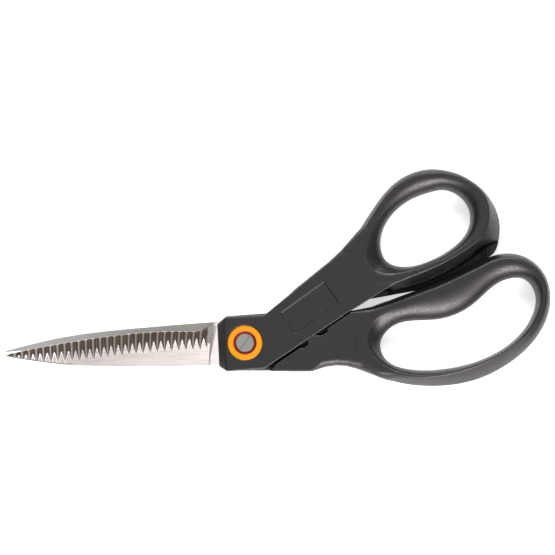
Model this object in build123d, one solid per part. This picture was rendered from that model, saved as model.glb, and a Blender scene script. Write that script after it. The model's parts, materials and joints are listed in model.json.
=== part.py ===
from build123d import *
import os
from math import atan2, cos, degrees, radians, sin

# Pinking shears, closed, lying on their back.
# Origin: on the pivot axis, in the plane that the shears rest on.
# +X runs from the pivot to the handles, so the blades point along -X.
# +Z is up, towards the front face: the thumb half is in front, the finger half behind it.
# All sizes are in millimetres and degrees.

# ---- layers, from the back (0) to the front -----------------------------------------
PLASTIC_BACK = 0.0          # back face of the finger handle
BLADE_BACK = 3.4            # outer face of the rear blade
MID = 6.0                   # mid-plane of the shears, where the blades meet
BLADE_FRONT = 8.6           # outer face of the front blade
ARM_FRONT = 12.0            # front face of the thumb arm
LOOP_FRONT = 13.0           # front crest of both loops
LOOP_BACK = 0.6             # back face of the thumb half
WIDEST = 5.5                # height at which the loops are widest
BLADE_GAP = 0.025           # half of the gap between the two blades
ARM_GAP = 0.25              # from the mid-plane to the plastic of each half

# ---- pivot -----------------------------------------------------------------------------
BARREL_R = 3.0              # barrel of the sleeve nut
RUNNING_GAP = 0.05          # radial clearance of the front bush on the barrel
SLEEVE_R = 4.2              # sleeve of a bush, and the hole in each blade
FLANGE_R = 7.2              # flange of a bush
RECESS_R = 4.5              # recess in the flange, round the head
BUSH_FLOOR = 0.7            # thickness of the front bush under the screw's head
BUSH_CROWN = 0.3            # the front bush stands this far out of the plastic
BUSH_END = 0.15             # each bush stops this far from the mid-plane
HEAD_R = 4.0                # heads of the screw and the nut
NUT_HEAD = 2.4              # thickness of the nut's head
SCREW_HEAD = 1.8            # thickness of the screw's head
SCREW_SEAT = 1.35           # from the front blade to the underside of the screw's head
WASHER = 0.3                # thickness of the spring washer's sheet
SHANK_R = 1.9               # thread of the screw, as a plain cylinder
SLOT_WIDTH = 0.8
SLOT_DEPTH = 1.0
SLOT_ANGLE = 54.0

# ---- blades ----------------------------------------------------------------------------
BLADE_ROOT = -11.3          # where the blades come out of the plastic
TIP_X = -101.0
PITCH = 3.0                 # one tooth, measured along the blade
TOOTH_RISE = 1.25           # depth of the corrugation
TOOTH_LENGTH = 4.4          # length of a tooth of the front blade, in plan
CREST_FLAT = 0.06           # half of the flat along each ridge, as a share of the pitch
GROOVE_FLAT = 0.08          # half of the rounded floor of each groove, likewise
TEETH_START = 16.0          # radius of the first ridge
TEETH_END = 103.0
TEETH_SECTOR = 76.0         # the ridges are arcs of this many degrees
BEVEL = TOOTH_RISE / TOOTH_LENGTH
EDGE_ARC_R = 470.0          # the front edge is a long arc that is highest at EDGE_TOP
EDGE_TOP = (-22.0, 2.75)
TIP_EDGE = ((-78.0, -0.7), (-101.0, -2.0))    # near the tip the front edge is straight
REAR_EDGE = ((-16.0, -2.5), (-101.0, -5.4))
SPINE_INSET = 0.35          # the front blade is narrower than the rear one by this much
LAND = 0.6                  # land left along the spine of the front blade
LAND_TOP = 6.95
HEEL = ((-15.8, -1.3), (-13.2, 8.8))          # the front bevel ends along this line
HEEL_RUN = 2.0              # width of the slope from that line up to the full thickness
STRIP_DROP = 0.5            # the strip beside the rear spine lies this far below the grooves
STRIP_DRAFT = 0.2           # slope of the strip's wall: run over rise
HUB_R = 9.3                 # each blade's disc round the pivot
RICASSO = 17.4              # width of a blade where it enters the plastic
TANG_WIDTH = 10.0
TANG_LENGTH = 42.0
TANG_STEP = 1.0             # the tangs are thinner on their inner side, under the plastic
TANG_STEP_R = 17.0
THUMB_TANG = 26.0           # direction of each blade's tang inside its handle
FINGER_TANG = -4.0

# ---- handles ---------------------------------------------------------------------------
SHOULDER_ANGLE = 31.0       # the edge where the two arms meet in front
ARM_EDGE = 13.6             # distance of the thumb arm's lower edge from the pivot
NEAR_GAP = 14.4             # distances of the finger half's shoulder from the pivot:
WIDE_GAP = 15.2             # beside the block, along the dark gap,
TIGHT_GAP = 14.0            # and where the arms nearly touch
ARM_REACH = 43.0            # length of the arm's straight edge
SHOULDER_DROP = 0.6         # the finger half's shoulder is this far below the thumb arm
HOLE_ROUND = 1.4            # eased rims of the holes in both loops
PANEL = (22.4, 10.7, 0.5)   # recessed panel on the thumb arm: length, width, depth
PANEL_CENTRE = (27.7, 13.2)
PANEL_ANGLE = 33.0
END_BEVEL = 3.0             # slope at the blade end of the front block
THUMB_REAR_START = 16.6     # the thumb arm is only half as thick inside this radius
FORK = (44.4, 10.7)         # where the two arms part


def polar(radius, angle):
    """Point at a radius and an angle in degrees from the pivot axis."""
    return (radius * cos(radians(angle)), radius * sin(radians(angle)))


def slab(face, low, high):
    """Prism of a face drawn in the XY plane, between two heights."""
    return extrude(Pos(0, 0, low) * face, high - low)


def face_of(*edges):
    """Face inside a closed chain of edges."""
    return make_face(Wire(edges))


def polygon(*points):
    """Face inside a closed polygon."""
    return make_face(Polyline(*points, close=True))


def turned(*points):
    """Solid of revolution about the pivot axis from (radius, height) points."""
    profile = make_face(Plane.XZ * Polyline(*points, close=True))
    return revolve(profile, Axis.Z)


def disc(radius, low, high):
    return slab(Circle(radius), low, high)


# ---- blades ----------------------------------------------------------------------------

SPINE = [(BLADE_ROOT, 9.1), (-27.0, 8.8), (-42.0, 8.25), (-57.0, 7.6), (-68.0, 6.8),
         (-78.0, 5.7), (-88.0, 4.0), (-95.0, 2.6), (TIP_X, 1.3)]


def spine_curve(side, inset=0.0):
    """Back edge of a blade: side is +1 for the rear blade and -1 for the front one."""
    return Spline(*[(x, side * (y - inset)) for x, y in SPINE])


def corrugation(side, gap):
    """Volume on one side of the meshing surface: side +1 is above it, -1 below it.

    The ridges are rings about the pivot axis, so the blades mesh at every opening angle.
    """
    top = MID + TOOTH_RISE / 2 + gap
    low = MID - TOOTH_RISE / 2 + gap
    ease = low + 0.1 * TOOTH_RISE
    points = [(TEETH_START, top)]
    count = int((TEETH_END - TEETH_START) / PITCH)
    for tooth in range(count):
        ridge = TEETH_START + tooth * PITCH
        floor = ridge + PITCH / 2
        points += [(ridge + CREST_FLAT * PITCH, top), (floor - GROOVE_FLAT * PITCH, ease)]
        points += [(floor, low), (floor + GROOVE_FLAT * PITCH, ease)]
        points.append((ridge + (1 - CREST_FLAT) * PITCH, top))
    end = TEETH_START + count * PITCH
    far = MID + side * 5.0
    points += [(end, top), (end, far), (TEETH_START, far)]
    profile = make_face(Plane.XZ * Polyline(*[(-r, z) for r, z in points], close=True))
    return revolve(Rot(0, 0, -TEETH_SECTOR / 2) * profile, Axis.Z, TEETH_SECTOR)


def flat_cut(side, gap):
    """Volume beyond the flat inner face, everywhere but over the corrugation."""
    low, high = sorted((MID + gap, MID + side * 5.0))
    block = slab(Pos(-20, 0) * Rectangle(200, 80), low, high)
    ring = disc(120, low, high) - disc(TEETH_START, low, high)
    half = TEETH_SECTOR / 2
    wedge = slab(polygon((0, 0), polar(150, 180 - half), polar(150, 180 + half)), low, high)
    return block - (ring & wedge)


def cone_bevel():
    """Volume above the front blade's outer bevel, a cone about a distant upright axis."""
    low = MID - TOOTH_RISE / 2
    run = (BLADE_FRONT + 0.5 - low) / BEVEL
    section = polygon((EDGE_ARC_R, low), (EDGE_ARC_R + 30, low), (EDGE_ARC_R + 30, 12),
                      (EDGE_ARC_R - run, 12), (EDGE_ARC_R - run, BLADE_FRONT + 0.5))
    upright = Plane.YZ * section
    body = revolve(Rot(0, 0, -4) * upright, Axis.Z, 16)
    return Pos(EDGE_TOP[0], EDGE_TOP[1] - EDGE_ARC_R, 0) * body


def beside_line(start, end, section, length):
    """Prism of a section whose first axis points to the left of a line in plan."""
    angle = degrees(atan2(end[1] - start[1], end[0] - start[0]))
    middle = Pos((start[0] + end[0]) / 2, (start[1] + end[1]) / 2, 0)
    return middle * Rot(0, 0, angle) * extrude(Plane.YZ * section, length / 2, both=True)


def tip_kept():
    """Volume under the straight bevel near the tip of the front blade."""
    low = MID - TOOTH_RISE / 2
    rise = BLADE_FRONT + 0.5 - low
    section = polygon((0, low), (rise / BEVEL, low + rise), (rise / BEVEL, low))
    return beside_line(TIP_EDGE[0], TIP_EDGE[1], section, 40)


def heel_kept():
    """Volume of the front blade's heel, which has no bevel."""
    low = MID - TOOTH_RISE / 2
    section = polygon((0, low), (-HEEL_RUN, BLADE_FRONT), (-HEEL_RUN, BLADE_FRONT + 1),
                      (-30, BLADE_FRONT + 1), (-30, low))
    return beside_line(HEEL[0], HEEL[1], section, 60)


def plane_bevel():
    """Volume behind the rear blade's outer bevel, which is a plane."""
    top = MID + TOOTH_RISE / 2
    run = (top - BLADE_BACK + 0.5) / BEVEL
    section = polygon((0, top), (-20, top), (-20, 0), (run, 0), (run, BLADE_BACK - 0.5))
    return beside_line(REAR_EDGE[1], REAR_EDGE[0], section, 120)


def tang(angle, length):
    """Outline of a blade round the pivot, with the tang that runs into the handle."""
    arm = Pos(*polar(length / 2, angle)) * Rot(0, 0, angle) * SlotOverall(length, TANG_WIDTH)
    return Circle(HUB_R) + arm


def front_outline():
    spine = spine_curve(-1, SPINE_INSET)
    low = SPINE_INSET - SPINE[-1][1]
    tip = Line((TIP_X, low), (TIP_X + 2.5, low + 1.1))
    top = Polyline((TIP_X + 2.5, low + 1.1), (-90, 5), (-15.0, 5), *HEEL, (BLADE_ROOT, 8.8))
    close = Line((BLADE_ROOT, 8.8), (BLADE_ROOT, SPINE_INSET - SPINE[0][1]))
    return face_of(spine, tip, *top.edges(), close)


def rear_outline():
    spine = spine_curve(1)
    tip = Line((TIP_X, 1.3), (TIP_X, -0.6))
    under = Polyline((TIP_X, -0.6), (-96, -1.8), (-86, -4.0), (-78, -5.6), (-15.8, -5.6),
                     (-13.2, -8.8), (BLADE_ROOT, -8.8))
    close = Line((BLADE_ROOT, -8.8), SPINE[0])
    return face_of(spine, tip, *under.edges(), close)


def tang_step(low, high):
    """Material taken off a tang, beyond the room that the other half needs."""
    return slab(Pos(TANG_STEP_R + 40, 0) * Rectangle(80, 120), low, high)


def ricasso():
    """Rectangle that joins the blade to the disc round the pivot."""
    return Pos(BLADE_ROOT / 2, 0) * Rectangle(-BLADE_ROOT, RICASSO)


def thumb_blade():
    """Front blade: flat inner face at the pivot, meshing teeth along the edge."""
    outline = front_outline() + ricasso() + tang(THUMB_TANG, TANG_LENGTH)
    body = slab(outline, MID - 1.0, BLADE_FRONT)
    inset = SPINE_INSET + LAND
    start = (BLADE_ROOT, inset - SPINE[0][1])
    end = (TIP_X, inset - SPINE[-1][1])
    under = Polyline(end, (TIP_X, -20), (BLADE_ROOT, -20), start)
    land = slab(face_of(spine_curve(-1, inset), *under.edges()), 0, LAND_TOP)
    body -= cone_bevel() - land - tip_kept() - heel_kept()
    body -= flat_cut(-1, BLADE_GAP)
    body -= corrugation(-1, BLADE_GAP)
    body -= tang_step(0, MID + TANG_STEP)
    body -= disc(SLEEVE_R, 0, 12)
    return largest(body)


def spine_strip():
    """Flat strip along the spine of the rear blade, ended by the cutter's round."""
    low = MID - TOOTH_RISE / 2 - STRIP_DROP
    high = BLADE_FRONT
    return loft([Pos(0, 0, low) * strip_face(0),
                 Pos(0, 0, high) * strip_face(STRIP_DRAFT * (high - low))], ruled=True)


def strip_face(shift):
    """Plan of the strip, with its lower border moved away from the spine."""
    border = [(-21.6, 5.7), (-38, 6.3), (-61, 5.1), (-80, 3.0), (-104, -0.6)]
    line = Spline(*[(x, y - shift) for x, y in border])
    round_end = ThreePointArc((-12.2, 9.6 - shift), (-16.4, 6.8 - shift), (-21.6, 5.7 - shift))
    rest = Polyline((-104, -0.6 - shift), (-104, 20), (-12.2, 20), (-12.2, 9.6 - shift))
    return face_of(round_end, line, *rest.edges())


def finger_blade():
    """Rear blade, whose grooved inner face shows above the front blade."""
    outline = rear_outline() + ricasso() + tang(FINGER_TANG, TANG_LENGTH)
    body = slab(outline, BLADE_BACK, MID + 1.0)
    body -= plane_bevel()
    body -= flat_cut(1, -BLADE_GAP)
    body -= corrugation(1, -BLADE_GAP)
    body -= spine_strip()
    body -= tang_step(MID - TANG_STEP, 12)
    body -= disc(SLEEVE_R, 0, 12)
    return largest(body)


def largest(shape):
    """The main solid of a shape, without chips that a cut left loose."""
    return max(shape.solids(), key=lambda solid: solid.volume)


# ---- pivot -----------------------------------------------------------------------------

def front_bush():
    floor = BLADE_FRONT + BUSH_FLOOR
    crown = ARM_FRONT + BUSH_CROWN
    bore = BARREL_R + RUNNING_GAP
    end = MID + BUSH_END
    return turned((bore, end), (SLEEVE_R, end), (SLEEVE_R, BLADE_FRONT),
                  (FLANGE_R, BLADE_FRONT), (FLANGE_R, ARM_FRONT), (FLANGE_R - 0.4, crown),
                  (RECESS_R + 0.4, crown), (RECESS_R, ARM_FRONT), (RECESS_R, floor),
                  (bore, floor))


def rear_bush():
    end = MID - BUSH_END
    return turned((BARREL_R, end), (SLEEVE_R, end), (SLEEVE_R, BLADE_BACK),
                  (FLANGE_R, BLADE_BACK), (FLANGE_R, 0.3), (FLANGE_R - 0.3, 0),
                  (RECESS_R + 0.4, 0), (RECESS_R, 0.4), (RECESS_R, NUT_HEAD),
                  (BARREL_R, NUT_HEAD))


def pivot_nut():
    """Sleeve nut: its head is flush with the back and its barrel carries both blades."""
    top = BLADE_FRONT + BUSH_FLOOR - 0.1
    thread = SHANK_R + 0.05
    return turned((0, 0), (HEAD_R - 0.4, 0), (HEAD_R, 0.4), (HEAD_R, NUT_HEAD),
                  (BARREL_R, NUT_HEAD), (BARREL_R, top), (thread, top), (thread, 2.0), (0, 2.0))


def pivot_screw():
    seat = BLADE_FRONT + SCREW_SEAT
    crown = seat + SCREW_HEAD
    screw = turned((0, 2.2), (SHANK_R, 2.2), (SHANK_R, seat), (HEAD_R, seat),
                   (HEAD_R, crown - 0.35), (HEAD_R - 0.35, crown), (0, crown))
    slot = Rot(0, 0, SLOT_ANGLE) * Rectangle(2 * HEAD_R + 1, SLOT_WIDTH)
    return screw - slab(slot, crown - SLOT_DEPTH, crown + 1)


def spring_washer():
    """Dished washer between the screw's head and the floor of the front bush."""
    low = BLADE_FRONT + BUSH_FLOOR + 0.03
    high = BLADE_FRONT + SCREW_SEAT
    inner = SHANK_R + 0.3
    outer = HEAD_R + 0.2
    return turned((outer, low), (outer, low + WASHER), (inner, high), (inner, high - WASHER))


def blade_washer():
    """Slip washer between the ends of the two bushes."""
    low = MID - BUSH_END
    high = MID + BUSH_END - 0.05
    inner = BARREL_R + 0.02
    outer = SLEEVE_R - 0.1
    return turned((inner, low), (outer, low), (outer, high), (inner, high))


# ---- handles ---------------------------------------------------------------------------

ARM_SIDE = (cos(radians(SHOULDER_ANGLE)), sin(radians(SHOULDER_ANGLE)))
ARM_OUT = (ARM_SIDE[1], -ARM_SIDE[0])


def beside_arm(distance, along):
    """Point at a distance outside the pivot, measured square to the thumb arm's edge."""
    return (distance * ARM_OUT[0] + along * ARM_SIDE[0],
            distance * ARM_OUT[1] + along * ARM_SIDE[1])


THUMB_TOP = [(50.0, 44.6), (59.3, 57.2), (65.6, 63.5), (72.6, 67.4), (80.6, 69.0),
             (87.2, 68.3), (92.3, 66.7), (97.6, 63.7)]
THUMB_SIDE = [(97.6, 63.7), (105.0, 56.8), (109.2, 47.5), (109.0, 38.6), (106.0, 32.0),
              (100.0, 29.7), (90.0, 25.1), (80.0, 21.3), (72.0, 18.7), (65.0, 16.9),
              (57.5, 15.9), (50.0, 13.1)]
THUMB_RIM = [(97.6, 63.7), (102.6, 57.4), (104.2, 50.0), (102.4, 42.6), (96.6, 36.0),
             (86.0, 30.2), (72.0, 24.6), (60.0, 20.0), (50.0, 14.6)]
THUMB_JUNCTION = (48.0, 29.0)   # the ring of the loop rises from the arm here
THUMB_HOLE = [(83.4, 59.8), (91.8, 57.9), (96.6, 51.8), (96.2, 43.2), (90.4, 36.4),
              (78.1, 30.1), (68.6, 28.5), (61.0, 31.4), (58.9, 37.4), (62.2, 47.9),
              (71.3, 55.9)]

FINGER_LOW = [(54.0, -16.5), (63.1, -19.9), (79.9, -22.3), (96.0, -20.5),
              (110.0, -14.5), (122.0, -4.6), (128.5, 7.6), (128.5, 19.0)]
FINGER_TOP = [(128.5, 19.0), (124.3, 26.5), (117.0, 31.2), (107.0, 31.6), (97.3, 27.7),
              (83.5, 21.9), (67.7, 16.7), (54.0, 12.2)]
CREST_LOW = [(54.0, -12.0), (63.0, -16.2), (76.0, -17.8), (92.0, -15.4),
             (107.0, -9.6), (119.0, 0.2), (125.6, 11.0), (125.0, 18.4)]
CREST_TOP = [(125.0, 18.4), (121.6, 24.2), (115.6, 27.9), (108.0, 28.2), (98.6, 24.4),
             (84.6, 18.6), (69.0, 13.6), (56.0, 10.2)]
SCALLOP = [(46.7, -13.4), (42.2, -11.9), (37.9, -11.4), (33.4, -11.75), (30.2, -12.6),
           (27.2, -13.35)]        # the hollow under the finger half's arm
FINGER_JUNCTION = (49.8, -1.5)
FINGER_HOLE = [(114.6, 21.6), (120.6, 19.2), (123.1, 13.6), (120.5, 3.7), (113.3, -4.6),
               (99.9, -11.9), (83.6, -15.3), (68.0, -14.6), (58.8, -10.0), (56.8, -3.6),
               (62.2, 3.6), (80.8, 5.7), (97.0, 11.6)]


def front_block():
    """Outline of the thumb half's arm and pivot block in front of the mid-plane."""
    start = beside_arm(ARM_EDGE, 0.8)
    end = beside_arm(ARM_EDGE, ARM_REACH)
    return polygon((BLADE_ROOT, -9.5), (BLADE_ROOT, 8.4), (-7.5, 11.2), (8.8, 11.2), (37.3, 32.2),
                   (42.7, 36.9), THUMB_TOP[0], (54.0, 30.0), THUMB_SIDE[-1], end,
                   start, (-8.0, -11.6))


def loop(outer, rim, hole, back):
    """Loop that is widest at WIDEST and narrows to a rim in front, with eased edges."""
    sections = [Pos(0, 0, WIDEST) * outer, Pos(0, 0, LOOP_FRONT) * rim]
    body = slab(outer, back, WIDEST) + loft(sections, ruled=True)
    body -= slab(hole, -1, LOOP_FRONT + 1)
    front, rear = body.faces().sort_by(Axis.Z)[-1], body.faces().sort_by(Axis.Z)[0]
    rims = [edge for edge in front.edges() + rear.edges() if edge.is_closed]
    return fillet(rims, HOLE_ROUND)


def hole_face(points):
    return make_face(Spline(*points, periodic=True))


def loop_face(first, second, junction):
    """Outline of a loop: two curves, closed by an arc where the loop joins its arm."""
    arc = ThreePointArc(second[-1], junction, first[0])
    return face_of(Spline(*first), Spline(*second), arc)


def finger_outline():
    return loop_face(FINGER_LOW, FINGER_TOP, FINGER_JUNCTION)


def thumb_handle(blade):
    """Moulded handle of the front half, with the round thumb loop."""
    body = loop(loop_face(THUMB_TOP, THUMB_SIDE, THUMB_JUNCTION),
                loop_face(THUMB_TOP, THUMB_RIM, THUMB_JUNCTION),
                hole_face(THUMB_HOLE), LOOP_BACK)
    body += slab(front_block(), LOOP_BACK, ARM_FRONT)
    body -= finger_space()
    panel = Pos(*PANEL_CENTRE) * Rot(0, 0, PANEL_ANGLE) * Rectangle(PANEL[0], PANEL[1])
    body -= slab(panel, ARM_FRONT - PANEL[2], ARM_FRONT + 1)
    end = polygon((BLADE_ROOT, ARM_FRONT - END_BEVEL), (BLADE_ROOT, 14),
                  (BLADE_ROOT + END_BEVEL, 14), (BLADE_ROOT + END_BEVEL, ARM_FRONT))
    body -= extrude(Plane.XZ * end, 30, both=True)
    body -= disc(FLANGE_R, MID, ARM_FRONT + 1)
    return largest(body - blade)


def finger_space():
    """Room behind the mid-plane for the finger half's block and web."""
    web = polygon((-30, -30), (-30, 12.0), (10.0, 12.6), (44.0, 10.9), (48.0, 10.9), (48, -30))
    return slab(Circle(THUMB_REAR_START) + web, -1, MID + ARM_GAP)


def finger_handle(blade):
    """Moulded handle of the rear half, with the long finger loop."""
    web = polygon((BLADE_ROOT, -8.4), (BLADE_ROOT, 8.4), (-7.5, 11.3), (9.0, 11.7), (43.8, 10.3),
                  FORK, (50, 5), *SCALLOP, (9.6, -12.4), (-7.5, -11.6))
    body = slab(web, PLASTIC_BACK, MID - ARM_GAP)
    shoulder = polygon((9.9, -12.4), (10.6, -11.3), beside_arm(NEAR_GAP, 5.7),
                       beside_arm(NEAR_GAP, 18.5), beside_arm(WIDE_GAP, 18.7),
                       beside_arm(WIDE_GAP, 31.4), beside_arm(TIGHT_GAP, 31.6),
                       beside_arm(TIGHT_GAP, ARM_REACH), FORK, FINGER_TOP[-1],
                       (54.0, 0), FINGER_LOW[0], *SCALLOP)
    body += slab(shoulder, PLASTIC_BACK, ARM_FRONT - SHOULDER_DROP)
    body += loop(finger_outline(), loop_face(CREST_LOW, CREST_TOP, FINGER_JUNCTION),
                 hole_face(FINGER_HOLE), PLASTIC_BACK)
    body -= disc(FLANGE_R, -1, MID)
    return largest(body - blade)


# ---- assembly --------------------------------------------------------------------------

def build():
    front_blade = thumb_blade()
    rear_blade = finger_blade()
    return {
        "thumb_blade": front_blade,
        "finger_blade": rear_blade,
        "thumb_handle": thumb_handle(front_blade),
        "finger_handle": finger_handle(rear_blade),
        "front_bush": front_bush(),
        "rear_bush": rear_bush(),
        "pivot_screw": pivot_screw(),
        "pivot_nut": pivot_nut(),
        "spring_washer": spring_washer(),
        "blade_washer": blade_washer(),
    }


os.makedirs("parts", exist_ok=True)
for node, shape in build().items():
    export_step(shape, f"parts/{node}.step")
    print(node, round(shape.volume, 1), len(shape.solids()))
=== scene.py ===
import json
import math

import bpy
import numpy as np
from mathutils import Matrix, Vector


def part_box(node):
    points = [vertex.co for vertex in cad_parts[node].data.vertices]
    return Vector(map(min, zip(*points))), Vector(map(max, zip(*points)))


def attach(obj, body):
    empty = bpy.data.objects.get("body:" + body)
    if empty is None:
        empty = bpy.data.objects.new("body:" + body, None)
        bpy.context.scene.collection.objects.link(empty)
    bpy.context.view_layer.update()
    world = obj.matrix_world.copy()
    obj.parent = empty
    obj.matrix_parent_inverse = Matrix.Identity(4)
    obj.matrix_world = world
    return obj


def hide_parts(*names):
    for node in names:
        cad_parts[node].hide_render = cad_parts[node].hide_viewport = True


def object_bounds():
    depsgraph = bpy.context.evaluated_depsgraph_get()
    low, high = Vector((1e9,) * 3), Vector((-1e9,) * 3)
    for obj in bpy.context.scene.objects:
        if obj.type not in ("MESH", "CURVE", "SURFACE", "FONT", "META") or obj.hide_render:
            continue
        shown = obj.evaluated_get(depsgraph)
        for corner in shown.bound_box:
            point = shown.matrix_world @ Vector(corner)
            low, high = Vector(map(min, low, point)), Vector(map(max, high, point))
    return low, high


MM = 0.001
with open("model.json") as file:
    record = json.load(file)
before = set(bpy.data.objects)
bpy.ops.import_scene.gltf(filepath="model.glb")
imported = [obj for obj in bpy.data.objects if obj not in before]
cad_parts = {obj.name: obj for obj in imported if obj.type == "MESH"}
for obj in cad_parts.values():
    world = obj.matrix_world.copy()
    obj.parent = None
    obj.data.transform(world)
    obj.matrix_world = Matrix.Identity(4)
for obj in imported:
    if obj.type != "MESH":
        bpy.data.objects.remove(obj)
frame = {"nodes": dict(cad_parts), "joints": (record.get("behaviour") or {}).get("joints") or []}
CAD_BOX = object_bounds()

# ---- sizes of the CAD model, in millimetres, from the frame --------------------------------
FLANGE_RISE = 0.3           # the bush's flange stands this far over the thumb arm
SHOULDER_STEP = 0.6         # and the finger arm's shoulder lies this far under it
ARM_GAP = 0.25              # from the blades' meeting plane to either arm

LOOP_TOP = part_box("finger_handle")[1].z / MM
LOOP_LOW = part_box("thumb_handle")[0].z / MM
MID = next(j for j in frame["joints"] if j["name"] == "shears_open")["pos_m"][2] / MM
BLADE_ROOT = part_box("finger_handle")[0].x / MM
BUSH_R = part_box("front_bush")[1].x / MM
ARM_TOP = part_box("front_bush")[1].z / MM - FLANGE_RISE
SHOULDER_TOP = ARM_TOP - SHOULDER_STEP

# ---- grid of the handle meshes, in millimetres ---------------------------------------------
STEP = 0.42
MARGIN = 3                  # cells of air round a handle


# ---- flat distance fields from the CAD sections ----------------------------------------------

BLOCK = 4000                # grid points measured at a time
TINY = 1e-12
HUGE = 1e9


def mesh_arrays(node):
    """Corners and triangles of a CAD node, in millimetres."""
    mesh = frame["nodes"][node].data
    mesh.calc_loop_triangles()
    points = np.empty(len(mesh.vertices) * 3)
    mesh.vertices.foreach_get("co", points)
    triangles = np.empty(len(mesh.loop_triangles) * 3, dtype=np.int32)
    mesh.loop_triangles.foreach_get("vertices", triangles)
    return points.reshape(-1, 3) / MM, triangles.reshape(-1, 3)


def section(node, height):
    """Segments (start, end) in which a level plane cuts a CAD node."""
    points, triangles = mesh_arrays(node)
    corners = points[triangles]
    level = corners[:, :, 2] - height
    above = level > 0
    count = above.sum(1)
    ends = []
    for kept in (1, 2):
        chosen = corners[count == kept]
        side = above[count == kept]
        odd = np.argmax(side == (kept == 1), axis=1)
        rows = np.arange(len(chosen))
        apex = chosen[rows, odd]
        pair = []
        for turn in (1, 2):
            other = chosen[rows, (odd + turn) % 3]
            share = (height - apex[:, 2]) / (other[:, 2] - apex[:, 2])
            pair.append(apex[:, :2] + share[:, None] * (other[:, :2] - apex[:, :2]))
        ends.append(np.stack(pair, axis=1))
    return np.concatenate(ends)


def signed_distance(segments, xs, ys):
    """Distance from the outline on a grid: positive inside it, negative outside."""
    gx, gy = np.meshgrid(xs, ys, indexing="ij")
    flat = np.stack([gx.ravel(), gy.ravel()], axis=1)
    start, along = segments[:, 0], segments[:, 1] - segments[:, 0]
    length2 = np.maximum((along ** 2).sum(1), TINY)
    best = np.full(len(flat), HUGE)
    crossings = np.zeros(len(flat), dtype=int)
    for first in range(0, len(flat), BLOCK):
        part = slice(first, first + BLOCK)
        p = flat[part]
        dx = p[:, None, 0] - start[None, :, 0]
        dy = p[:, None, 1] - start[None, :, 1]
        t = np.clip((dx * along[:, 0] + dy * along[:, 1]) / length2, 0, 1)
        gap2 = (dx - t * along[:, 0]) ** 2 + (dy - t * along[:, 1]) ** 2
        best[part] = np.sqrt(gap2.min(1))
        y0, y1 = start[:, 1], start[:, 1] + along[:, 1]
        spans = (y0[None] > p[:, None, 1]) != (y1[None] > p[:, None, 1])
        rise = np.where(along[:, 1] == 0, TINY, along[:, 1])
        hit = start[:, 0] + (p[:, None, 1] - y0) / rise * along[:, 0]
        crossings[part] = (spans & (hit > p[:, None, 0])).sum(1)
    sign = np.where(crossings % 2 == 1, 1.0, -1.0)
    return (best * sign).reshape(len(xs), len(ys))


def smooth_ring(points, per_span=16):
    """Segments of a closed Catmull-Rom curve through the points."""
    p = np.array(points, float)
    before, after, beyond = np.roll(p, 1, 0), np.roll(p, -1, 0), np.roll(p, -2, 0)
    t = np.linspace(0, 1, per_span, endpoint=False)[None, :, None]
    a, b, c, d = (q[:, None] for q in (before, p, after, beyond))
    curve = 0.5 * (2 * b + (c - a) * t + (2 * a - 5 * b + 4 * c - d) * t ** 2
                   + (3 * b - a - 3 * c + d) * t ** 3)
    curve = curve.reshape(-1, 2)
    return np.stack([curve, np.roll(curve, -1, 0)], axis=1)


# ---- rounded volumes: negative inside ------------------------------------------------------

THIN_RISE = 0.3             # least widths that a loop's section is divided by
THIN_FALL = 0.6
THIN_WALL = 0.5
WIDE_WALL = 40
FIELD_SCALE = (1.0, 6.0)    # range of the factor that makes a section's field a rough distance


def smooth_min(a, b, blend):
    share = np.clip(0.5 + 0.5 * (b - a) / blend, 0, 1)
    return b + (a - b) * share - blend * share * (1 - share)


def smooth_max(a, b, blend):
    return -smooth_min(-a, -b, blend)


def power_sum(p, q, power):
    """Level sets are superellipses: 0 on the unit one."""
    return (np.maximum(p, 0) ** power + np.maximum(q, 0) ** power) ** (1 / power) - 1


def rounded_slab(distance, z, low, high, radius):
    """Prism of a flat outline between two heights, with rounded edges."""
    flat = radius - distance
    centre, half = (low + high) / 2, (high - low) / 2
    upright = np.abs(z - centre) - half + radius
    outside = np.sqrt(np.maximum(flat, 0) ** 2 + np.maximum(upright, 0) ** 2)
    return outside + np.minimum(np.maximum(flat, upright), 0) - radius


def loop_volume(hole, crest, outer, z, levels, powers, reach):
    """Ring round a hole. It rises from the hole to a crest, then falls to its outer edge.

    hole is the distance from the hole (positive in the material), crest the distance
    inside the crest line and outer the distance inside the silhouette. levels are the
    heights of the back, of the widest place and of the crest. powers shape the section
    inside the crest, outside it and at the back. reach is the longest fall from the crest.
    """
    low, widest, top = levels
    power_in, power_out, power_back = powers
    inward = crest / np.maximum(hole + crest, THIN_RISE)
    outward = -crest / np.clip(outer - crest, THIN_FALL, reach)
    across = np.where(crest > 0, inward, outward)
    power = np.where(crest > 0, power_in, power_out)
    up = (z - widest) / (top - widest)
    down = (widest - z) / (widest - low)
    front = power_sum(across, up, power)
    wall = np.minimum(hole + outer, WIDE_WALL)
    middle = np.abs((hole - outer) / np.maximum(wall, THIN_WALL))
    back = power_sum(middle, down, power_back)
    return np.where(z > widest, front, back) * np.clip(wall / 2, *FIELD_SCALE)


# ---- meshing -------------------------------------------------------------------------------

SETTLE_ROUNDS = 4
FLATTEST = 0.05             # least squared slope that a move is divided by
STRIDE = 0.3                # longest move in a round, in grid steps


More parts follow.
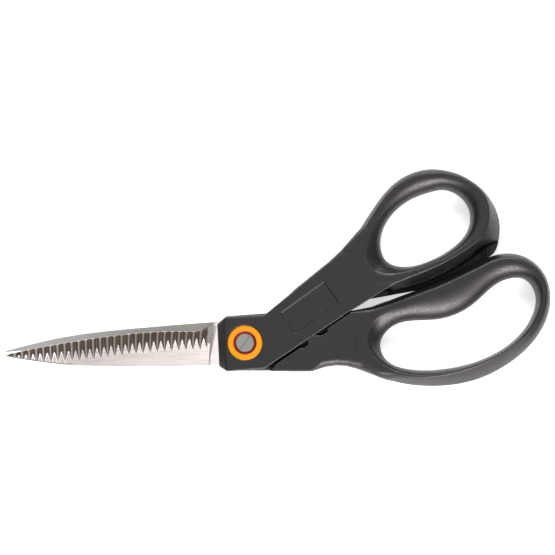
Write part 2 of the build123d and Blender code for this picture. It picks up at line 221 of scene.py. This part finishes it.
def surface_net(field, origin, step):
    """Closed quad mesh on the zero level of a grid field."""
    inside = field < 0
    cells = tuple(n - 1 for n in field.shape)
    total = np.zeros(cells + (3,))
    count = np.zeros(cells)
    faces = []
    for axis in range(3):
        near = [slice(None)] * 3
        far = [slice(None)] * 3
        near[axis], far[axis] = slice(0, -1), slice(1, None)
        a, b = field[tuple(near)], field[tuple(far)]
        crossed = inside[tuple(near)] != inside[tuple(far)]
        share = np.where(crossed, a / np.where(crossed, a - b, 1), 0)
        grid = np.indices(crossed.shape).astype(float)
        grid[axis] += share
        others = [o for o in range(3) if o != axis]
        for first in (0, 1):
            for second in (0, 1):
                source, target = [slice(None)] * 3, [slice(None)] * 3
                for other, shift in zip(others, (first, second)):
                    source[other] = slice(1, None) if shift else slice(0, -1)
                    target[other] = slice(None)
                mask = crossed[tuple(source)]
                for k in range(3):
                    total[tuple(target) + (k,)] += np.where(mask, grid[k][tuple(source)], 0)
                count[tuple(target)] += mask
        found = np.argwhere(crossed)
        safe = np.all([(found[:, o] > 0) & (found[:, o] < field.shape[o] - 1)
                       for o in others], axis=0)
        found = found[safe]
        corner = []
        for shifts in ((1, 1), (0, 1), (0, 0), (1, 0)):
            cell = found.copy()
            for other, shift in zip(others, shifts):
                cell[:, other] -= shift
            corner.append(np.ravel_multi_index(cell.T, cells))
        quads = np.stack(corner, axis=1)
        starts_inside = inside[tuple(found.T)]
        flip = starts_inside if axis == 1 else ~starts_inside
        quads[flip] = quads[flip][:, ::-1]
        faces.append(quads)
    used = count.ravel() > 0
    index = np.cumsum(used) - 1
    points = total.reshape(-1, 3)[used] / count.ravel()[used][:, None]
    return origin + points * step, index[np.concatenate(faces)]


def settle(points, field, origin, step):
    """Moves points along the field's slope until they lie on its zero level."""
    slopes = np.gradient(field, step)

    def sample(grid, where):
        base = np.clip(np.floor(where).astype(int), 0, np.array(grid.shape) - 2)
        part = where - base
        value = 0
        for corner in np.ndindex(2, 2, 2):
            weight = np.prod(np.where(corner, part, 1 - part), axis=1)
            value = value + weight * grid[tuple((base + corner).T)]
        return value

    for _ in range(SETTLE_ROUNDS):
        where = (points - origin) / step
        slope = np.stack([sample(g, where) for g in slopes], axis=1)
        size2 = np.maximum((slope ** 2).sum(1), FLATTEST)
        move = -(sample(field, where) / size2)[:, None] * slope
        points = points + np.clip(move, -STRIDE * step, STRIDE * step)
    return points


def build_mesh(name, points, faces):
    mesh = bpy.data.meshes.new(name)
    mesh.from_pydata((points * MM).tolist(), [], faces.tolist())
    mesh.validate()
    mesh.shade_smooth()
    piece = bpy.data.objects.new(name, mesh)
    bpy.context.scene.collection.objects.link(piece)
    return piece


def grid_for(node):
    """Axes of a grid round a CAD node, and its lowest corner, in millimetres."""
    low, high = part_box(node)
    axes = [np.arange(low[k] / MM - MARGIN * STEP, high[k] / MM + (MARGIN + 1) * STEP, STEP)
            for k in range(3)]
    return axes, np.array([axis[0] for axis in axes])


# ---- handles: places and sizes, in millimetres ----------------------------------------------
# A name in _SPAN is the start and the end of a smooth change, and _LINE a corner and a slope.

WIDEST = 5.4                # height at which the finger loop is widest
BACK_POWER = 2.6            # the power of a section is 2 where it's round and 1 where it's flat
ROUND_POWER = 2.0
REACH = 5                   # longest fall from a crest beside the arms, and how much it grows
REACH_GROWTH = 7
CREST_LAP = 1.0             # the arms end this far inside a crest line
CREST_BLEND = 2.5
JOINT_BLEND = 0.8           # blend of arm and loop at the back, and how much it grows in front
JOINT_BLEND_GROWTH = 2.2
JOINT_BLEND_SPAN = (7.5, 10)
SINK = 3                    # an arm's top sinks this far where the loop takes over
LOOP_MERGE = 9              # an arm's outline takes in the loop's, at first smaller by this much
EDGE_BLEND = 0.4
RIM_BLEND = 0.3
BORE_BLEND = 0.25
BORE_GAP = 0.05
PANEL_BLEND = 0.2

THUMB_EYE = (78, 44)
THUMB_CREST = [(50.1, 33.0), (53.4, 26.4), (59.0, 23.9), (68.0, 24.2), (77.5, 26.7),
               (88.0, 31.2), (97.4, 36.8), (102.8, 43.4), (104.2, 50.5), (102.2, 57.2),
               (96.0, 63.0), (90.0, 65.6), (84.0, 66.7), (76.0, 66.2), (69.0, 63.4),
               (62.0, 57.4), (55.6, 48.6), (51.4, 40.5)]
THUMB_WIDEST = 5.0
THUMB_ARM_HEIGHT = 8.8      # heights of the CAD sections that give the arm and its back spar
THUMB_SPAR_HEIGHT = 3.0
THUMB_TOP_LIFT = 0.2
THUMB_TOP_SPAN = (56, 78)
THUMB_REACH_SPAN = (34, 42)
RIM_SIDE = (0.5, -0.86)     # the side of the loop with a fuller rim
RIM_SPAN = (-6, 12)
RIM_IN_POWER = 1.4
RIM_OUT_POWER = -0.85
THUMB_BOWL_X_SPAN = (60, 76)
THUMB_BOWL_Y_SPAN = (30, 42)
THUMB_BOWL_POWER = -0.25
UNDER_SIDE = (0.42, -0.9)   # the side of the loop that faces the finger loop
UNDER_SPAN = (13, 17)
UNDER_START_SPAN = (60, 67)
UNDER_END_SPAN = (99, 106)
UNDER_DROP = 3.1            # its widest place is this much lower
SKIRT = 1.4                 # its wall leans out by up to this much
UNDERLAP = 0.3              # and reaches this far under the finger loop's bulge
ARM_DIRECTION = (0.839, 0.545)
ARM_UPPER_SPAN = (-4, 2)
ARM_EDGE = 0.6
ARM_EASING = 3.5
ARM_EASING_SPAN = (48, 70)
ARM_SINK_SPAN = (64, 76)
ARM_MERGE_SPAN = (50, 56)
ARM_END = (0.458, 0.888, 64)    # level direction and distance at which the arm ends
ARM_END_BLEND = 3.0
SPAR_EDGE = 1.0
SPAR_DEPTH = 1
RIM_LINE = ((43, 10), 0.559)    # lower edge of the arm, beside the fork
RIM_LINE_COS = 0.873
RIM_START = 42
LOOP_LINE = ((52.5, 15.5), 0.13)    # lower edge of the loop, where the rim line meets it
PANEL_CENTRE = (27.7, 13.2)
PANEL_SIZE = (22.4, 10.7)
PANEL_ANGLE = math.radians(33)
PANEL_DEPTH = 0.5
END_BEVEL = 3.0             # of the arm's end over the blade, at 45 degrees

FINGER_EYE = (85, -5)
FINGER_CREST = [(49.9, -1.5), (52.0, -7.4), (56.0, -11.6), (62.5, -15.5), (71.0, -17.6),
                (82.0, -17.3), (94.0, -14.7), (106.0, -9.8), (116.5, -2.4), (123.6, 7.2),
                (126.0, 15.5), (125.0, 20.5), (122.0, 25.2), (116.0, 28.9), (107.5, 29.2),
                (97.5, 25.3), (84.0, 19.7), (76.0, 17.0), (67.0, 14.2), (60.0, 11.9),
                (54.5, 8.8), (51.0, 4.5)]
FINGER_ARM_HEIGHT = 8.0     # heights of the CAD sections that give the arm and its back web
FINGER_WEB_HEIGHT = 2.0
FINGER_TOP_LIFT = 0.3
FINGER_TOP_SPAN = (52, 72)
FINGER_REACH_SPAN = (58, 66)
LOW_SIDE = (0.30, -1)       # the lower side of the loop, with a flatter outer slope
LOW_SIDE_START = 3
LOW_SIDE_SPAN = (-4, 8)
LOW_SIDE_END_SPAN = (112, 126)
LOW_IN_POWER = 0.2
LOW_OUT_POWER = -0.8
FINGER_BOWL_SPAN = (54, 68)
FINGER_BOWL_POWER = -0.6
SHOULDER_EASING = 3
SHOULDER_EASING_SPAN = (42, 62)
SHOULDER_SINK_SPAN = (54, 66)
SHOULDER_MERGE_SPAN = (46, 50)
SCALLOP_EDGE = 0.6          # the shoulder's edge, and how much rounder the scallop is
SCALLOP_ROLL = 2.6
SCALLOP_X_SPAN = (27, 32)
SCALLOP_Y_SPAN = (0, 6)
ROUNDEST = 4
WEB_EDGE = 0.5
WEB_EASING = 0.7
SHOULDER_END = 62
SHOULDER_END_BLEND = 4.0


# ---- handles: fields ------------------------------------------------------------------------

SAME_POINT = 2              # decimals to which the ends of touching segments agree
SECTOR = 45                 # degrees


def chains(node, height):
    """The separate outlines in a section, each as its segments."""
    segments = section(node, height)
    ends = {}
    for i, segment in enumerate(segments):
        for end in segment:
            ends.setdefault(tuple(np.round(end, SAME_POINT)), []).append(i)
    label = np.full(len(segments), -1)
    count = 0
    for first in range(len(segments)):
        if label[first] >= 0:
            continue
        queue = [first]
        label[first] = count
        while queue:
            for end in segments[queue.pop()]:
                for j in ends[tuple(np.round(end, SAME_POINT))]:
                    if label[j] < 0:
                        label[j] = count
                        queue.append(j)
        count += 1
    return [segments[label == chain] for chain in range(count)]


def outline_of(node, height):
    """The longest outline of a section: the silhouette at that height."""
    return max(chains(node, height), key=lambda c: np.ptp(c[:, 0, 0]) + np.ptp(c[:, 0, 1]))


def hole_of(node, height, eye):
    """The outline of a section that runs closest round a point."""
    def spread(chain):
        away = chain.mean(1) - np.array(eye)
        bearings = np.degrees(np.arctan2(away[:, 1], away[:, 0]))
        sectors = set((bearings // SECTOR).astype(int))
        return np.hypot(*away.T).mean() if len(sectors) == 360 // SECTOR else HUGE
    return min(chains(node, height), key=spread)


def flat_field(segments, axes):
    return signed_distance(segments, axes[0], axes[1])[:, :, None]


def ramp(value, low, high):
    """0 below low, 1 above high, and smooth between them."""
    t = np.clip((value - low) / (high - low), 0, 1)
    return t * t * (3 - 2 * t)


def loop_fields(node, eye, crest_points, axes):
    """Distances from a loop's hole, inside its crest line and inside its silhouette."""
    hole = -flat_field(hole_of(node, WIDEST, eye), axes)
    outer = flat_field(outline_of(node, WIDEST), axes)
    crest = flat_field(smooth_ring(crest_points), axes)
    return hole, crest, outer


def toward(x, y, eye, side):
    """How far a point lies from a loop's eye, towards one side."""
    return side[0] * (x - eye[0]) + side[1] * (y - eye[1])


def under_line(x, y, corner, slope):
    """How far a point lies straight under a line."""
    return slope * (x - corner[0]) + corner[1] - y


def crest_height(arm_top, lift, x, span):
    """Height of a crest: just over the arm beside it, and LOOP_TOP further away."""
    return arm_top + lift + (LOOP_TOP - arm_top - lift) * ramp(x, *span)


def arm_outline(node, height, outer, place, span, axes):
    """Outline of an arm in a section, taking in the loop's outline beyond a place."""
    arm = flat_field(outline_of(node, height), axes)
    return np.maximum(arm, outer - LOOP_MERGE * (1 - ramp(place, *span)))


def join(arms, ring, z):
    """Arms and loop in one, blended more softly in front."""
    blend = JOINT_BLEND + JOINT_BLEND_GROWTH * ramp(z, *JOINT_BLEND_SPAN)
    return smooth_min(arms, ring, blend)


def bored(field, x, y):
    """The field with a hole for the bush."""
    return smooth_max(field, BUSH_R + BORE_GAP - np.hypot(x, y), BORE_BLEND)


def panel_box(x, y, z):
    """Recess in the thumb arm: negative inside it."""
    dx, dy = x - PANEL_CENTRE[0], y - PANEL_CENTRE[1]
    along = np.abs(dx * math.cos(PANEL_ANGLE) + dy * math.sin(PANEL_ANGLE)) - PANEL_SIZE[0] / 2
    across = np.abs(dy * math.cos(PANEL_ANGLE) - dx * math.sin(PANEL_ANGLE)) - PANEL_SIZE[1] / 2
    return np.maximum(np.maximum(along, across), ARM_TOP - PANEL_DEPTH - z)


def thumb_field(axes):
    """Loop, arm and back spar of the thumb handle, with its rim, bore, panel and bevel."""
    x, y, z = np.meshgrid(*axes, indexing="ij", sparse=True)
    hole, crest, outer = loop_fields("thumb_handle", THUMB_EYE, THUMB_CREST, axes)

    under = ramp(toward(x, y, THUMB_EYE, UNDER_SIDE), *UNDER_SPAN)
    under = under * ramp(x, *UNDER_START_SPAN) * (1 - ramp(x, *UNDER_END_SPAN))
    facing = -flat_field(outline_of("finger_handle", WIDEST), axes)
    outer = np.maximum(outer, np.minimum(outer + SKIRT * under, facing + UNDERLAP))
    rim = ramp(toward(x, y, THUMB_EYE, RIM_SIDE), *RIM_SPAN)
    bowl = (1 - ramp(x, *THUMB_BOWL_X_SPAN)) * (1 - ramp(y, *THUMB_BOWL_Y_SPAN))
    power_in = ROUND_POWER + RIM_IN_POWER * rim * (1 - bowl) + THUMB_BOWL_POWER * bowl
    powers = (power_in, ROUND_POWER + RIM_OUT_POWER * rim, BACK_POWER)
    top = crest_height(ARM_TOP, THUMB_TOP_LIFT, x, THUMB_TOP_SPAN)
    levels = (LOOP_LOW, THUMB_WIDEST - UNDER_DROP * under, top)
    reach = REACH + REACH_GROWTH * ramp(y, *THUMB_REACH_SPAN)
    ring = loop_volume(hole, crest, outer, z, levels, powers, reach)

    along = ARM_DIRECTION[0] * x + ARM_DIRECTION[1] * y
    upper = ramp(ARM_DIRECTION[0] * y - ARM_DIRECTION[1] * x, *ARM_UPPER_SPAN)
    easing = ARM_EASING * ramp(along, *ARM_EASING_SPAN) * upper
    sink = SINK * ramp(along, *ARM_SINK_SPAN) * upper
    arm = arm_outline("thumb_handle", THUMB_ARM_HEIGHT, outer, along, ARM_MERGE_SPAN, axes)
    front = rounded_slab(arm, z, MID + ARM_GAP, ARM_TOP - sink, ARM_EDGE + easing)
    spar = flat_field(outline_of("thumb_handle", THUMB_SPAR_HEIGHT), axes)
    back = rounded_slab(spar, z, LOOP_LOW, ARM_TOP - SPAR_DEPTH - sink, SPAR_EDGE + easing)
    end = ARM_END[0] * x + ARM_END[1] * y - ARM_END[2]
    arms = smooth_max(np.minimum(front, back), end, ARM_END_BLEND)
    arms = smooth_max(arms, crest - CREST_LAP, CREST_BLEND)
    rim_line = np.minimum(RIM_LINE_COS * under_line(x, y, *RIM_LINE), x - RIM_START)
    arms = smooth_max(arms, rim_line, RIM_BLEND)

    field = smooth_max(join(arms, ring, z), z - top, EDGE_BLEND)
    field = smooth_max(field, np.minimum(rim_line, under_line(x, y, *LOOP_LINE)), RIM_BLEND)
    field = smooth_max(bored(field, x, y), -panel_box(x, y, z), PANEL_BLEND)
    bevel = (z - ARM_TOP + END_BEVEL - (x - BLADE_ROOT)) * math.sqrt(0.5)
    return smooth_max(field, bevel, EDGE_BLEND)


def finger_field(axes):
    """Loop, shouldered arm and back web of the finger handle, with its scallop and bore."""
    x, y, z = np.meshgrid(*axes, indexing="ij", sparse=True)
    hole, crest, outer = loop_fields("finger_handle", FINGER_EYE, FINGER_CREST, axes)

    low_side = ramp(toward(x, y, FINGER_EYE, LOW_SIDE) - LOW_SIDE_START, *LOW_SIDE_SPAN)
    low_side = low_side * (1 - ramp(x, *LOW_SIDE_END_SPAN))
    bowl = 1 - ramp(x, *FINGER_BOWL_SPAN)
    power_in = ROUND_POWER + LOW_IN_POWER * low_side + FINGER_BOWL_POWER * bowl
    powers = (power_in, ROUND_POWER + LOW_OUT_POWER * low_side, BACK_POWER)
    top = crest_height(SHOULDER_TOP, FINGER_TOP_LIFT, x, FINGER_TOP_SPAN)
    reach = REACH + REACH_GROWTH * ramp(x, *FINGER_REACH_SPAN)
    ring = loop_volume(hole, crest, outer, z, (0.0, WIDEST, top), powers, reach)

    easing = SHOULDER_EASING * ramp(x, *SHOULDER_EASING_SPAN)
    sink = SINK * ramp(x, *SHOULDER_SINK_SPAN)
    arm = arm_outline("finger_handle", FINGER_ARM_HEIGHT, outer, x, SHOULDER_MERGE_SPAN, axes)
    edge = SCALLOP_EDGE + SCALLOP_ROLL * ramp(x, *SCALLOP_X_SPAN) * ramp(-y, *SCALLOP_Y_SPAN)
    edge = np.minimum(edge + easing, ROUNDEST)
    front = rounded_slab(arm, z, 0.0, SHOULDER_TOP - sink, edge)
    web = flat_field(outline_of("finger_handle", FINGER_WEB_HEIGHT), axes)
    web = rounded_slab(web, z, 0.0, MID - ARM_GAP, WEB_EDGE + WEB_EASING * easing)
    arms = smooth_max(np.minimum(front, web), x - SHOULDER_END, SHOULDER_END_BLEND)
    arms = smooth_max(arms, crest - CREST_LAP, CREST_BLEND)

    field = smooth_max(join(arms, ring, z), np.maximum(z - top, -z), EDGE_BLEND)
    return bored(field, x, y)


def make_handle(name, node, body, field_of):
    axes, origin = grid_for(node)
    field = field_of(axes)
    points, faces = surface_net(field, origin, STEP)
    points = settle(points, field, origin, STEP)
    piece = build_mesh(name, points, faces)
    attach(piece, body)
    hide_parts(node)
    return piece


# ---- materials, in metres and linear colours -------------------------------------------------

CHARCOAL = ((0.006, 0.0063, 0.0062), (0.011, 0.0108, 0.0104))
RUBBED_CHARCOAL = (0.03, 0.029, 0.028)
GROUND_STEEL = (0.66, 0.63, 0.61)
SATIN_STEEL = (0.97, 0.95, 0.94)
GROOVED_STEEL = (0.62, 0.6, 0.57)
TIPWARD_STEEL = (0.98, 0.96, 0.94)
# painted shade colours for the flanks of the rear blade's grooves
GROOVE_SHADE = ((0.27, 0.225, 0.185), (0.45, 0.385, 0.32))
SCREW_STEEL = (0.6, 0.6, 0.58)
ORANGE = ((0.92, 0.3, 0.001), (1.0, 0.36, 0.002))
# painted shade colour for the recess round the screw
RECESS_SHADE_ORANGE = (0.55, 0.035, 0.006)
MILKY = ((0.55, 0.53, 0.48), (0.7, 0.68, 0.62))
PAPER = ((0.93, 0.93, 0.93), (0.96, 0.96, 0.96))
WHITE = (1, 1, 1, 1)
ALONG_X = (60, 1, 60)       # stretches of a noise whose lines run along x, or across it
ACROSS_X = (1, 60, 60)
SCREW_STRETCH = (12, 1, 12)
GREY_NOISE = (0.3, 0.7)     # range that most of a noise's values are in
HEEL_X = (-0.0158, -0.0145) # where the front blade's bevel ends
GROOVE_Z = (0.0061, 0.0065) # the ridges' tops are above this
TIPWARD_X = (-0.1, -0.03)    # from the tip, over which the steel grows lighter
RECESS_R = (0.00485, 0.0051)    # edge of the painted shade in the recess round the screw
FLOOR_GLOW = 0.6


class Nodes:
    """Short names for building one node tree."""

    def __init__(self, name, roughness=0.5, metallic=0.0):
        self.material = bpy.data.materials.new(name)
        self.material.use_nodes = True
        self.tree = self.material.node_tree
        self.shader = self.tree.nodes["Principled BSDF"]
        self.shader.inputs["Roughness"].default_value = roughness
        self.shader.inputs["Metallic"].default_value = metallic
        self.place = self.add("ShaderNodeTexCoord").outputs["Object"]

    def add(self, kind, **settings):
        node = self.tree.nodes.new(kind)
        for key, value in settings.items():
            setattr(node, key, value)
        return node

    def link(self, source, target):
        self.tree.links.new(source, target)

    def noise(self, size, stretch=(1, 1, 1), detail=3, turn=0.0):
        """Noise with features of a size in metres, longer where stretch is above 1."""
        mapping = self.add("ShaderNodeMapping")
        mapping.inputs["Rotation"].default_value = (0, 0, turn)
        mapping.inputs["Scale"].default_value = [1 / s for s in stretch]
        self.link(self.place, mapping.inputs["Vector"])
        noise = self.add("ShaderNodeTexNoise")
        noise.inputs["Scale"].default_value = 1 / size
        noise.inputs["Detail"].default_value = detail
        self.link(mapping.outputs["Vector"], noise.inputs["Vector"])
        return noise.outputs["Fac"]

    def fit(self, value, low, high, to_low, to_high):
        """Smooth change from one number to another over a range of values."""
        node = self.add("ShaderNodeMapRange", interpolation_type="SMOOTHSTEP")
        for name, number in zip(("From Min", "From Max", "To Min", "To Max"),
                                (low, high, to_low, to_high)):
            node.inputs[name].default_value = number
        self.link(value, node.inputs["Value"])
        return node.outputs["Result"]

    def math(self, kind, first, second=0):
        node = self.add("ShaderNodeMath", operation=kind)
        for socket, value in zip(node.inputs, (first, second)):
            if isinstance(value, (int, float)):
                socket.default_value = value
            else:
                self.link(value, socket)
        return node.outputs["Value"]

    def mix(self, share, first, second):
        """Colour between two colours or colour outputs."""
        node = self.add("ShaderNodeMix", data_type="RGBA")
        self.link(share, node.inputs["Factor"])
        for name, value in (("A", first), ("B", second)):
            socket = [i for i in node.inputs if i.name == name and i.type == "RGBA"][0]
            if isinstance(value, tuple):
                socket.default_value = (*value, 1)
            else:
                self.link(value, socket)
        return [o for o in node.outputs if o.type == "RGBA"][0]

    def bump(self, height, distance, strength):
        node = self.add("ShaderNodeBump")
        node.inputs["Distance"].default_value = distance
        node.inputs["Strength"].default_value = strength
        self.link(height, node.inputs["Height"])
        self.link(node.outputs["Normal"], self.shader.inputs["Normal"])

    def part(self, vector, letter):
        """The X, Y or Z of a vector output."""
        node = self.add("ShaderNodeSeparateXYZ")
        self.link(vector, node.inputs["Vector"])
        return node.outputs[letter]

    def colour(self, output):
        self.link(output, self.shader.inputs["Base Color"])

    def rough(self, output):
        self.link(output, self.shader.inputs["Roughness"])

    def linked_to(self, socket):
        """The output that already feeds one of the shader's sockets."""
        return self.shader.inputs[socket].links[0].from_socket


def handle_plastic():
    """Charcoal moulded plastic with a fine spark-eroded grain."""
    n = Nodes("handle_plastic")
    n.shader.inputs["Specular IOR Level"].default_value = 0.75
    grain = n.noise(0.0007, detail=4)
    base = n.mix(n.noise(0.018), *CHARCOAL)
    rubbed = n.fit(n.add("ShaderNodeNewGeometry").outputs["Pointiness"], 0.52, 0.60, 0, 0.5)
    n.colour(n.mix(rubbed, base, RUBBED_CHARCOAL))
    n.rough(n.fit(grain, *GREY_NOISE, 0.36, 0.5))
    scuffs = n.fit(n.noise(0.0012, stretch=(9, 1, 3), detail=2, turn=0.5), 0.6, 0.75, 0, 0.25)
    n.bump(n.math("SUBTRACT", grain, scuffs), 0.00005, 0.8)
    return n.material


def steel(name, tint, roughness, stretch):
    """Nodes of ground stainless steel, whose lines run in the directions that are stretched."""
    n = Nodes(name, metallic=1.0)
    lines = n.noise(0.00025, stretch=stretch, detail=2)
    cloud = n.noise(0.012, detail=4)
    dark = tuple(0.86 * c for c in tint)
    worn = n.math("ADD", n.math("MULTIPLY", lines, 0.6), n.math("MULTIPLY", cloud, 0.4))
    n.colour(n.mix(worn, dark, tint))
    n.rough(n.fit(lines, *GREY_NOISE, roughness - 0.06, roughness + 0.06))
    n.bump(lines, 0.000006, 0.5)
    return n


def front_blade_steel():
    """Ground steel, with a finer satin face behind the heel of the bevel."""
    n = steel("ground_steel", GROUND_STEEL, 0.33, ALONG_X)
    satin = n.fit(n.part(n.place, "X"), *HEEL_X, 0, 1)
    n.colour(n.mix(satin, n.linked_to("Base Color"), SATIN_STEEL))
    n.rough(n.math("ADD", n.linked_to("Roughness"), n.math("MULTIPLY", satin, 0.25)))
    return n.material


def rear_blade_steel():
    """Steel with painted shade, dull and brown, on the flanks of the ground grooves, and lighter
    towards the tip elsewhere.
    """
    n = steel("grooved_steel", GROOVED_STEEL, 0.34, ACROSS_X)
    normal = n.add("ShaderNodeNewGeometry").outputs["Normal"]
    flank = n.fit(n.math("ABSOLUTE", n.part(normal, "X")), 0.2, 0.45, 0, 1)
    low = n.fit(n.part(n.place, "Z"), *GROOVE_Z, 1, 0)
    # the steel grows lighter towards the tip
    tipward = n.fit(n.part(n.place, "X"), *TIPWARD_X, 0.75, 0)
    bright = n.mix(tipward, n.linked_to("Base Color"), TIPWARD_STEEL)
    # painted shade: dull brown on the steep flanks below the ridge tops
    painted_shade = n.mix(n.noise(0.003), *GROOVE_SHADE)
    n.colour(n.mix(n.math("MULTIPLY", flank, low), bright, painted_shade))
    return n.material


def bush_plastic():
    """Orange acetal, with painted shade in deep red inside the recess round the screw."""
    n = Nodes("bush_plastic", roughness=0.34)
    n.shader.inputs["Specular IOR Level"].default_value = 0.45
    x, y = n.part(n.place, "X"), n.part(n.place, "Y")
    radius = n.math("SQRT", n.math("ADD", n.math("MULTIPLY", x, x), n.math("MULTIPLY", y, y)))
    face = n.mix(n.noise(0.002), *ORANGE)
    # painted shade: deep red inside the recess radius, orange outside it
    n.colour(n.mix(n.fit(radius, *RECESS_R, 0, 1), RECESS_SHADE_ORANGE, face))
    grain = n.noise(0.0005)
    n.rough(n.fit(grain, *GREY_NOISE, 0.3, 0.42))
    n.bump(grain, 0.00001, 0.4)
    return n.material


def washer_plastic():
    """Milky plastic of the washer between the blades."""
    n = Nodes("washer_plastic", roughness=0.4)
    grain = n.noise(0.0006)
    n.colour(n.mix(grain, *MILKY))
    n.bump(grain, 0.00001, 0.3)
    return n.material


def floor_paper():
    """White paper with a little light of its own, so that it stays white in the photo's view."""
    n = Nodes("floor_paper", roughness=0.9)
    n.colour(n.mix(n.noise(0.004, detail=4), *PAPER))
    n.shader.inputs["Emission Color"].default_value = WHITE
    n.shader.inputs["Emission Strength"].default_value = FLOOR_GLOW
    return n.material


def finish_cad(node, material):
    mesh = frame["nodes"][node].data
    mesh.materials.clear()
    mesh.materials.append(material)


# ---- floor, light and camera, in metres and degrees ------------------------------------------

FLOOR_SIZE = 6
LAMP_SIZE = (0.7, 0.3)
LAMP_COLOUR = (1, 0.93, 0.92)
LAMP_DISTANCE = 1.1
LAMP_AIM = Vector((0.02, 0.02, 0))
SKY = {"From Min": 0.35, "From Max": 1.0, "To Min": 0.08, "To Max": 0.48}
VIEW_WIDTH = 0.2330         # that the photo shows at VIEW_HEIGHT
VIEW_HEIGHT = 0.008
VIEW_OFFSET = (0.0008, 0.00326)     # from the middle of the CAD
LENS = 135
SENSOR = 36
TILT = 2.79


def make_floor():
    bpy.ops.mesh.primitive_grid_add(x_subdivisions=4, y_subdivisions=4, size=FLOOR_SIZE)
    floor = bpy.context.object
    floor.name = "floor"
    floor.data.materials.append(floor_paper())


def softbox(name, angle, side, power):
    """Area light above the shears, at an angle from the vertical and towards side (x, y)."""
    light = bpy.data.lights.new(name, "AREA")
    light.shape = "RECTANGLE"
    light.size, light.size_y = LAMP_SIZE
    light.energy = power
    light.color = LAMP_COLOUR
    lamp = bpy.data.objects.new(name, light)
    bpy.context.scene.collection.objects.link(lamp)
    lean = Vector((*side, 0)).normalized() * math.sin(math.radians(angle))
    arrow = lean + Vector((0, 0, math.cos(math.radians(angle))))
    lamp.location = LAMP_AIM + arrow * LAMP_DISTANCE
    lamp.rotation_euler = arrow.to_track_quat("Z", "Y").to_euler()


def make_light():
    """Two softboxes, and a sky that is brightest overhead."""
    world = bpy.data.worlds.new("studio")
    bpy.context.scene.world = world
    world.use_nodes = True
    background = world.node_tree.nodes["Background"]
    add = world.node_tree.nodes.new
    link = world.node_tree.links.new
    height = add("ShaderNodeSeparateXYZ")
    link(add("ShaderNodeTexCoord").outputs["Generated"], height.inputs["Vector"])
    sky = add("ShaderNodeMapRange")
    sky.interpolation_type = "SMOOTHSTEP"
    for socket, number in SKY.items():
        sky.inputs[socket].default_value = number
    link(height.outputs["Z"], sky.inputs["Value"])
    background.inputs["Color"].default_value = WHITE
    link(sky.outputs["Result"], background.inputs["Strength"])
    softbox("key", angle=46, side=(0.15, 1), power=8)
    softbox("fill", angle=56, side=(0.25, -1), power=13)


def make_camera():
    """Straight above the front face, turned as in the photo."""
    lens = bpy.data.cameras.new("camera")
    lens.lens = LENS
    lens.sensor_width = SENSOR
    camera = bpy.data.objects.new("camera", lens)
    bpy.context.scene.collection.objects.link(camera)
    centre = (CAD_BOX[0] + CAD_BOX[1]) / 2
    distance = VIEW_WIDTH * LENS / SENSOR
    camera.location = (centre.x + VIEW_OFFSET[0], centre.y + VIEW_OFFSET[1],
                       VIEW_HEIGHT + distance)
    camera.rotation_euler = (0, 0, -math.radians(TILT))
    bpy.context.scene.camera = camera


# ---- the shears ------------------------------------------------------------------------------

def make_shears():
    plastic = handle_plastic()
    thumb = make_handle("thumb_moulding", "thumb_handle", "thumb_half", thumb_field)
    finger = make_handle("finger_moulding", "finger_handle", "finger_half", finger_field)
    thumb.data.materials.append(plastic)
    finger.data.materials.append(plastic)
    finish_cad("thumb_blade", front_blade_steel())
    finish_cad("finger_blade", rear_blade_steel())
    pivot = steel("pivot_steel", SCREW_STEEL, 0.36, SCREW_STRETCH).material
    for node in ("pivot_screw", "pivot_nut", "spring_washer"):
        finish_cad(node, pivot)
    orange = bush_plastic()
    finish_cad("front_bush", orange)
    finish_cad("rear_bush", orange)
    finish_cad("blade_washer", washer_plastic())


make_shears()
make_floor()
make_light()
make_camera()
bpy.context.scene.view_settings.view_transform = "Standard"
